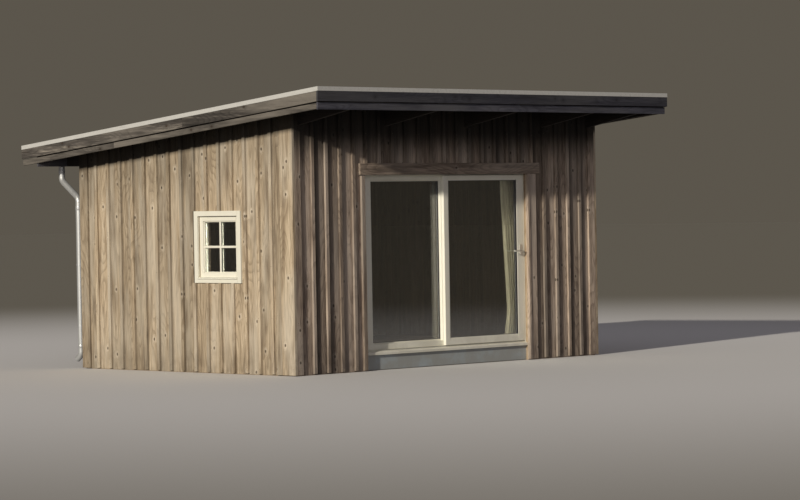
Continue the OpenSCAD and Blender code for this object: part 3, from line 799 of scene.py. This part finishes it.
# Boards under the covering, seen from below the overhangs and from the room
pile = Pile(14)
SOFFIT_W = 0.120
y = ROOF_FRONT + 0.050
while y < REAR_FASCIA - 0.02:
    w = min(SOFFIT_W, REAR_FASCIA - y)
    h = w / 2 - 0.0005
    outline = [(-h, 0.004), (-h, -0.0005), (0.003 - h, -0.0035), (h - 0.003, -0.0035), (h, -0.0005), (h, 0.004)]
    mid = y + w / 2
    cut = pile.rng.choice(RAFTERS[1:4])
    for s0, s1 in two_lengths(-ROOF_X + 0.048, cut, ROOF_X - 0.048, 0.0005):
        pile.plank(lambda s, v, n: (s, mid + v, deck_z(mid + v) + n), s0, s1, outline, 1, 0.0)
    y += SOFFIT_W
pile.make("soffit_boards", "roof_x")

# How far the upper and the lower board of the fascia and bargeboards stand in from the roof's edge
UPPER_IN, LOWER_IN = 0.025, 0.047


def edge_board(h, c=0.0025):
    return face_board(h, EDGE_T, c, 0.0006, 3)


upper_z, lower_z = top_z(ROOF_FRONT) - 0.132, top_z(ROOF_FRONT) - 0.222
pile = Pile(15)
for inset, end, mid, h, mark in ((UPPER_IN, 0.003, upper_z + 0.079, 0.157, (0.18, 4.0, 1.0)),
                                 (LOWER_IN, 0.025, lower_z + 0.041, 0.082, (0.85, 2.0, 5.0))):
    pile.plank(lambda s, v, n: (s, ROOF_FRONT + inset - n, mid + v), -ROOF_X + end, ROOF_X - end, edge_board(h),
               24, 0.0009, mark)
pile.make("front_fascia_boards", "fascia", hides="front_fascia")
for x in RAFTERS + [-ROOF_X + 0.07, ROOF_X - 0.07]:
    for z in (upper_z + 0.035, upper_z + 0.105):
        nail(x, ROOF_FRONT + UPPER_IN - EDGE_T, z)
    nail(x, ROOF_FRONT + LOWER_IN - EDGE_T, lower_z + 0.030)

# Bargeboards follow the slope, in two lengths each
pile = Pile(16)
for sx in (-1, 1):
    for inset, low, h, joint in ((UPPER_IN, -0.132, 0.1605, -0.35), (LOWER_IN, -0.211, 0.067, 0.9)):
        for s0, s1 in two_lengths(ROOF_FRONT + inset, joint, ROOF_REAR, 0.0006):
            pile.plank(lambda s, v, n: (sx * (ROOF_X - inset + n), s, top_z(s) + low + h / 2 + v), s0, s1,
                       edge_board(h), 14, 0.0008)
    for k in range(8):
        y = ROOF_FRONT + 0.12 + k * 0.70
        for dz in (-0.105, -0.035):
            nail(sx * (ROOF_X - UPPER_IN + EDGE_T), y, top_z(y) + dz, out=(sx, 0, 0))
pile.make("verge_boards", "barge", hides="bargeboards")

z0, z1 = rafter_z(REAR - SKIN) - 0.005, deck_z(REAR_FASCIA + EDGE_T) - 0.001
pile = Pile(17)
pile.plank(lambda s, v, n: (s, REAR_FASCIA + n, (z0 + z1) / 2 + v), -ROOF_X + LOWER_IN, ROOF_X - LOWER_IN,
           edge_board(z1 - z0, 0.002), 20, 0.0006)
pile.make("rear_fascia_board", "fascia", hides="rear_fascia")

dress("felt", "roof_covering")
dress("flashing", "roof_edge_flashing")
pile = Pile(18)
outline = [(-0.05, -0.001), (0.05, -0.001), (0.05, 0.0022), (0.044, 0.0032), (0.0, 0.0036), (-0.044, 0.0030),
           (-0.05, 0.0018)]
for k in range(1, 6):
    x = -ROOF_X + 0.025 + k * 0.995
    pile.plank(lambda s, v, n: (x + v, s, top_z(s) + n), ROOF_FRONT + 0.112, REAR_FASCIA + 0.050, outline,
               22, 0.0009)
pile.make("felt_laps", "felt")

# -------- rainwater

dress("gutter", "gutter", "gutter_brackets", "downpipe_clips")
# A rolled bead along the gutter's front edge, in three lengths
pile = Pile(19)
GUTTER_X0, LENGTH, BEAD_R = -2.986, 1.991, 0.0065
for k in range(3):
    ends = GUTTER_X0 + k * LENGTH, GUTTER_X0 + (k + 1) * LENGTH - (0.004 if k < 2 else 0.010)
    tube(pile, [(x, GUTTER_Y + GUTTER_R - 0.001, GUTTER_Z - 0.005) for x in ends], BEAD_R, 14)
pile.make("gutter_bead", "gutter", smooth=40)

# The downpipe leaves the gutter at PIPE and runs down the wall at WALL_PIPE, with sockets at its joints
PIPE, WALL_PIPE = (-SIDE_X + 0.090, GUTTER_Y), (-SIDE_X + 0.040, REAR + 0.070)
PIPE_R, SOCKET_R, MOUTH_R, PIPE_SIDES = 0.0375, 0.0400, 0.0345, 32
outlet = GUTTER_Z - GUTTER_R
heel, toe = Vector((*WALL_PIPE, 0.160)), Vector((WALL_PIPE[0], WALL_PIPE[1] + 0.075, 0.108))
corners = [(*PIPE, outlet + 0.012), (*PIPE, 2.300), (*WALL_PIPE, 2.080), heel, toe]
pile = Pile(20)
tube(pile, bent_path(corners, 0.085), PIPE_R, PIPE_SIDES)
for at, high, low in ((PIPE, outlet - 0.002, outlet - 0.060), (PIPE, 2.440, 2.390), (WALL_PIPE, 1.985, 1.930),
                      (WALL_PIPE, 0.290, 0.245)):
    a, b = Vector((*at, high)), Vector((*at, low))
    radii = [SOCKET_R - 0.002, SOCKET_R, SOCKET_R, SOCKET_R - 0.002]
    tube(pile, [a, a.lerp(b, 0.08), a.lerp(b, 0.92), b], radii, PIPE_SIDES)
pile.make("downpipe_tube", "pipe", smooth=40, hides="downpipe")
pile = Pile(21)
way = (toe - heel).normalized()
tube(pile, [toe + way * 0.0002, toe + way * 0.0006], MOUTH_R, PIPE_SIDES)
pile.make("downpipe_mouth", "gasket")

# -------- door surround

# Left and right edge, thickness, and the shade and grain that come nearest to the photograph
TRIMS = [(DOOR_X0 - 0.038, DOOR_X0 + 0.022, 0.034, (0.25, 3.11, 8.01)),
         (DOOR_X1 - 0.008, TRIM_X1, 0.040, (0.92, 6.37, 0.44)),
         (TRIM_X1, TRIM_X1 + 0.120, 0.030, (0.94, 6.97, 8.65))]
pile = Pile(22)
for a, b, t, mark in TRIMS:
    outline = face_board(b - a - 0.0012, t, 0.0022, 0.0004, 3)
    upright(pile, on_front, a + 0.0006, b - 0.0006, CORNER_FOOT, level(HEAD_Z0 - 0.001), outline, mark=mark)
    nail_rows(on_front, (a + b) / 2, CORNER_FOOT, HEAD_Z0, t, 0.0 if b - a < 0.08 else 0.035)
pile.make("door_trim_boards", "front", hides="door_casing")
pile = Pile(23)
mid, head_t = (HEAD_Z0 + HEAD_Z1) / 2, 0.044
pile.plank(lambda s, v, n: (s, FRONT + SKIN - n, mid + v), HEAD_X0, HEAD_X1,
           face_board(HEAD_Z1 - HEAD_Z0, head_t, 0.0028, 0.0006, 3), 16, 0.0008, (0.22, 3.3, 5.1))
pile.make("door_header_board", "header")
for k in range(7):
    for z in (HEAD_Z0 + 0.030, HEAD_Z1 - 0.030):
        nail(HEAD_X0 + 0.05 + k * (HEAD_X1 - HEAD_X0 - 0.10) / 6, FRONT + SKIN - head_t, z)
nails.make("nail_heads", "nail")
pile = Pile(24)
pile.plank(lambda s, v, n: (s, DOOR_Y + EDGE_T - n, 0.0925 + v), DOOR_X0, DOOR_X1,
           face_board(0.175, EDGE_T, 0.003), 8, 0.0004)
pile.make("threshold_front_board", "threshold", hides="threshold_board")

# -------- joinery


def glazed(name, body, xs, ys, zs, widths, glass_y, beads, hides, glass_hides):
    """A glazed frame: stiles, rails, beads and seals, with two panes and their spacer.

    widths are those of the left and right stile and of the top and bottom rail. beads says how far they
    stand off the panes outside and inside; the right stile has none.
    """
    (x0, x1), (y0, y1), (z0, z1) = xs, ys, zs
    left, right, top, bottom = widths
    gx0, gx1, gz0, gz1 = x0 + left, x1 - right, z0 + bottom, z1 - top
    g0, g1 = glass_y, glass_y + UNIT_T
    seal_t, bead_w, seal_w, spacer_w = 0.0015, 0.013, 0.016, 0.017
    p = Pile(len(name) * 7)
    bar(p, (x0, gx0), ys, zs, 0.003)
    bar(p, (gx1, x1), ys, zs, 0.003)
    for rail in ((z0, gz0), (gz1, z1)):
        bar(p, (gx0 + 0.0003, gx1 - 0.0003), (y0 + 0.0004, y1 - 0.0004), rail, 0.003)
    for deep in ((g0 - beads[0], g0 - seal_t), (g1 + seal_t, g1 + beads[1])):
        bar(p, (gx0, gx0 + bead_w), deep, (gz0 + bead_w, gz1 - bead_w), 0.0035)
        bar(p, (gx0, gx1), deep, (gz0, gz0 + bead_w), 0.0035)
        bar(p, (gx0, gx1), deep, (gz1 - bead_w, gz1), 0.0035)
    p.make(name + "_timber", "white", body, hides=hides)
    q = Pile(3)
    for deep in ((g0 - seal_t, g0), (g1, g1 + seal_t)):
        four_bars(q, 1, deep, (gx0, gx1), (gz0, gz1), seal_w, 0.0004)
    if body == LEAF:
        bar(q, (gx1 - 0.0016, gx1 + 0.0003), (y0 + 0.0035, g0 - 0.0016), (gz0 + 0.001, gz1 - 0.001), 0.0004)
    q.make(name + "_seals", "gasket", body)
    s = Pile(4)
    four_bars(s, 1, (g0 + 0.0042, g1 - 0.0042), (gx0, gx1), (gz0, gz1), spacer_w, 0.001)
    s.make(name + "_spacer", "spacer", body)
    r = Pile(5)
    for y in (g0, g1 - PANE_T):
        bar(r, (gx0 + 0.0005, gx1 - 0.0005), (y, y + PANE_T), (gz0 + 0.0005, gz1 - 0.0005), 0.0005)
    r.make(name + "_panes", "glass", body, hides=glass_hides)


glazed("fixed_part", POD, (DOOR_X0 + 0.070, MEET_X + 0.075), (SASH_Y, FRAME_BACK), (SILL_Z, LINTEL_Z),
       (0.158, 0.075, 0.060, 0.068), DOOR_Y + 0.094, (0.0080, 0.0018), "fixed_sash", "fixed_glass")
glazed("sliding_part", LEAF, (MEET_X, LEAF_X1), (DOOR_Y, DOOR_Y + 0.044), (DOOR_BASE + 0.061, DOOR_TOP - 0.050),
       (0.075, LEAF_RIGHT, 0.051, 0.073), DOOR_Y + 0.012, (0.0060, 0.0060), "sliding_sash", "sliding_glass")

pile = Pile(25)
bar(pile, (DOOR_X0, DOOR_X1), (DOOR_Y, FRAME_BACK), (LINTEL_Z, DOOR_TOP), 0.003)
bar(pile, (DOOR_X0, DOOR_X1), (SASH_Y, FRAME_BACK), (DOOR_BASE, SILL_Z), 0.003)
for thin, thick in (((DOOR_X0, DOOR_X0 + 0.012), (DOOR_X0, DOOR_X0 + 0.070)),
                    ((DOOR_X1 - 0.012, DOOR_X1), (DOOR_X1 - 0.050, DOOR_X1))):
    bar(pile, thin, (DOOR_Y, SASH_Y - 0.0002), (SILL_Z - 0.015, LINTEL_Z), 0.003)
    bar(pile, thick, (SASH_Y, FRAME_BACK), (SILL_Z, LINTEL_Z), 0.003)
outline = [(-0.030, DOOR_BASE), (0.050, DOOR_BASE), (0.050, SILL_Z - 0.006), (0.0, SILL_Z - 0.012),
           (-0.028, SILL_Z - 0.0235), (-0.030, SILL_Z - 0.027)]
pile.sweep([[(x, DOOR_Y + a, z) for a, z in outline] for x in (DOOR_X0, DOOR_X1)])
pile.make("door_frame_timber", "white", hides="door_frame")
pile = Pile(26)
outline = [(-0.0048, -0.014), (0.0048, -0.014), (0.0048, -0.003), (0.0025, 0.0008), (-0.0025, 0.0008),
           (-0.0048, -0.003)]
ends = (DOOR_X0 + 0.013, DOOR_X1 - 0.013)
pile.sweep([[(x, DOOR_Y + 0.022 + a, SILL_Z + b) for a, b in outline] for x in ends])
pile.make("running_rail", "handle")

# The lever is bent from one rod, out of its plate, along the door and a little way back
dress("handle", "handle_plate")
LEVER_X, LEVER_Z, LEVER_OUT, GRIP = LEAF_X1 - LEAF_RIGHT / 2, 1.342, 0.052, 0.150
pile = Pile(27)
path = bent_path([(LEVER_X, DOOR_Y - 0.004, LEVER_Z), (LEVER_X, DOOR_Y - LEVER_OUT, LEVER_Z),
                  (LEVER_X - GRIP, DOOR_Y - LEVER_OUT, LEVER_Z), (LEVER_X - GRIP, DOOR_Y - 0.031, LEVER_Z)],
                 0.014, 10)
tube(pile, path, [0.0098] * 3 + [0.0092] * (len(path) - 4) + [0.0078], 24)
pile.make("lever_grip", "handle", LEVER, smooth=40, hides="lever_handle")

# -------- side window

pile = Pile(28)
wx = -SIDE_X
outer_y, outer_z = (WIN_Y0 - CASING_W, WIN_Y1 + CASING_W), (WIN_Z0 - CASING_W, WIN_Z1 + CASING_W)
for (a, b), zs in (((outer_y[0], WIN_Y0), outer_z), ((WIN_Y1, outer_y[1]), outer_z),
                   ((WIN_Y0, WIN_Y1), (WIN_Z1, outer_z[1])), ((WIN_Y0, WIN_Y1), (outer_z[0], WIN_Z0))):
    bar(pile, (wx + 0.0005, wx + SKIN), (a + 0.0004, b - 0.0004), zs, 0.003)
outline = [(-0.018, -0.012), (-0.016, -0.004), (0.060, 0.012), (0.060, -0.001), (-0.010, -0.014)]
pile.sweep([[(wx + a, y, WIN_Z0 + b) for a, b in outline] for y in (WIN_Y0 + 0.001, WIN_Y1 - 0.001)])
pile.make("window_casing_boards", "white", hides="window_casing")

pile = Pile(29)
GLASS_X, BEAD_W, MUNTIN = wx + SKIN + 0.034, 0.012, 0.013
pane_y, pane_z = (WIN_Y0 + WIN_FRAME_W, WIN_Y1 - WIN_FRAME_W), (WIN_Z0 + WIN_FRAME_W, WIN_Z1 - WIN_FRAME_W)
mid_y, mid_z = (WIN_Y0 + WIN_Y1) / 2, (WIN_Z0 + WIN_Z1) / 2
deep = (wx + SKIN + 0.008, wx + SKIN + 0.098)
four_bars(pile, 0, deep, (WIN_Y0, WIN_Y1), (WIN_Z0, WIN_Z1), WIN_FRAME_W, 0.003)
for xa, xb in ((GLASS_X - 0.014, GLASS_X), (GLASS_X + UNIT_T, GLASS_X + 0.036)):
    bar(pile, (xa, xb), (mid_y - MUNTIN, mid_y + MUNTIN), pane_z, 0.004)
    bar(pile, (xa + 0.0005, xb - 0.0005), pane_y, (mid_z - MUNTIN, mid_z + MUNTIN), 0.004)
    four_bars(pile, 0, (xa + 0.002, xb - 0.002), pane_y, pane_z, BEAD_W, 0.004, butt=False)
pile.make("window_timber", "white", hides="window_frame")
pile = Pile(30)
for x in (GLASS_X, GLASS_X + UNIT_T - PANE_T):
    bar(pile, (x, x + PANE_T), *((a + 0.0005, b - 0.0005) for a, b in (pane_y, pane_z)), 0.0005)
pile.make("window_panes", "glass", hides="window_glass")

# -------- curtain

# The cloth is a wave of fixed length: wide at the rail, drawn in on the way down, and looser at the hem
RAIL_Y, RAIL_Z = ROOM_Y0 + 0.075, 2.395
CURTAIN_X, HUNG_W, DRAWN_IN, LOOSE = -SIDE_X + 3.800, 0.284, 0.120, 0.055
FOLDS, FOLD_DEPTH = 5.5, 0.0200
CLOTH_TOP, CLOTH_HEM = RAIL_Z - 0.020, FLOOR + 0.030
COLS, ROWS = 160, 60
verts, faces, lengths = [], [], []
for i in range(ROWS + 1):
    t = i / ROWS
    e = min(1.0, max(0.0, (t - 0.13) / 0.68))
    drawn = 0.4 * e * e * (3 - 2 * e) + 0.6 * e
    spread = 0.5 - 0.5 * math.cos(math.pi * max(0.0, (t - 0.80) / 0.20))
    wide = HUNG_W - DRAWN_IN * drawn + LOOSE * spread
    start = CURTAIN_X + 0.275 - wide + 0.003 * math.sin(5 * t)
    row = []
    for j in range(COLS + 1):
        u = j / COLS
        phase = math.tau * FOLDS * u + 0.35 * math.sin(2.6 * t + 3 * u)
        amp = FOLD_DEPTH * (0.72 + 0.28 * math.sin(4.1 * u + 1.3 * t)) * (0.80 + 0.30 * drawn - 0.08 * spread)
        x = start + wide * u + 0.006 * math.sin(2 * phase) + 0.002 * math.sin(7 * t + 9 * u)
        y = RAIL_Y + amp * math.sin(phase) + 0.0035 * math.sin(2.3 * phase + 4 * t)
        row.append(Vector((x, y, CLOTH_TOP + (CLOTH_HEM - CLOTH_TOP) * t)))
    verts += row
    lengths.append(sum((q - p).length for p, q in zip(row, row[1:])))
for i in range(ROWS):
    for j in range(COLS):
        a = i * (COLS + 1) + j
        faces.append((a, a + 1, a + COLS + 2, a + COLS + 1))
me = bpy.data.meshes.new("curtain_sheet")
me.from_pydata([tuple(v) for v in verts], [], faces)
curtain = finish_piece("curtain_sheet", me, "cloth", smooth=80, hides="curtain")
dress("rail", "curtain_rail")
pile = Pile(31)
for k in range(12):
    x = CURTAIN_X + 0.010 + k * 0.0235
    turns = [math.tau * q / 20 for q in range(20)]
    ring = [(x + 0.001 * math.sin(3 * a), RAIL_Y + 0.0155 * math.sin(a), RAIL_Z - 0.0025 + 0.0165 * math.cos(a))
            for a in turns]
    tube(pile, ring, 0.0016, 8, closed=True)
pile.make("curtain_rings", "handle", smooth=60)

# -------- floor, light and camera

# Floor and sky have one colour for the rays that see them, and another for their light on the part
FLOOR_LIGHT, FLOOR_NEAR, FLOOR_FAR = (0.160, 0.149, 0.152), (0.78, 0.77, 0.75), (0.229, 0.2145, 0.1755)
SKY_LIGHT, SKY_SEEN = (0.138, 0.132, 0.147), (0.105, 0.092, 0.072)
FLOOR_REACH, FLOOR_FADE = 160.0, (7.0, 26.0)
TO_SUN, TO_FILL = (-0.922, -0.2455, 0.2996), (-0.62, -0.78, 0.10)
EYE, AIM, ROLL, LENS, SENSOR = (-26.911, -27.208, 1.956), (-0.905, -1.760, 1.400), -0.978, 139.32, 36.0

scene = bpy.context.scene
floor_mesh = bpy.data.meshes.new("studio_floor")
r = FLOOR_REACH
floor_mesh.from_pydata([(-r, -r, 0), (r, -r, 0), (r, r, 0), (-r, r, 0)], [], [(0, 1, 2, 3)])
floor = bpy.data.objects.new("studio_floor", floor_mesh)
scene.collection.objects.link(floor)
t = Tree("studio_floor")
away = t.node("ShaderNodeVectorMath", {0: t.coords()}, 1, operation="LENGTH")
pale = t.mix(t.span(away, *FLOOR_FADE), FLOOR_NEAR, FLOOR_FAR)
t.set(color=t.mix(t.seen(), FLOOR_LIGHT, pale), rough=0.9, spec=0.1)
floor_mesh.materials.append(t.mat)
floor.location.z = -0.0005

world = bpy.data.worlds.new("studio")
scene.world = world
world.use_nodes = True
sky = Graph(world.node_tree)
sky.put(sky.nt.nodes["Background"].inputs[0], sky.mix(sky.seen(), SKY_LIGHT, SKY_SEEN))


def sun(name, towards, energy, angle, colour):
    data = bpy.data.lights.new(name, "SUN")
    data.energy, data.angle, data.color = energy, math.radians(angle), colour
    ob = bpy.data.objects.new(name, data)
    scene.collection.objects.link(ob)
    ob.rotation_euler = Vector(towards).to_track_quat("Z", "Y").to_euler()


sun("key", TO_SUN, 3.15, 1.5, (1.0, 0.93, 0.81))
sun("fill", TO_FILL, 0.46, 24.0, (1.0, 0.95, 0.94))

cam_data = bpy.data.cameras.new("camera")
cam_data.lens, cam_data.sensor_width, cam_data.sensor_fit = LENS, SENSOR, "HORIZONTAL"
cam_data.clip_end = 500.0
cam = bpy.data.objects.new("camera", cam_data)
scene.collection.objects.link(cam)
eye, aim = Vector(EYE), Vector(AIM)
turn = (aim - eye).to_track_quat("-Z", "Y").to_matrix() @ Matrix.Rotation(math.radians(ROLL), 3, "Z")
cam.matrix_world = Matrix.Translation(eye) @ turn.to_4x4()
scene.camera = cam
scene.view_settings.view_transform = "Standard"
scene.view_settings.look = "None"
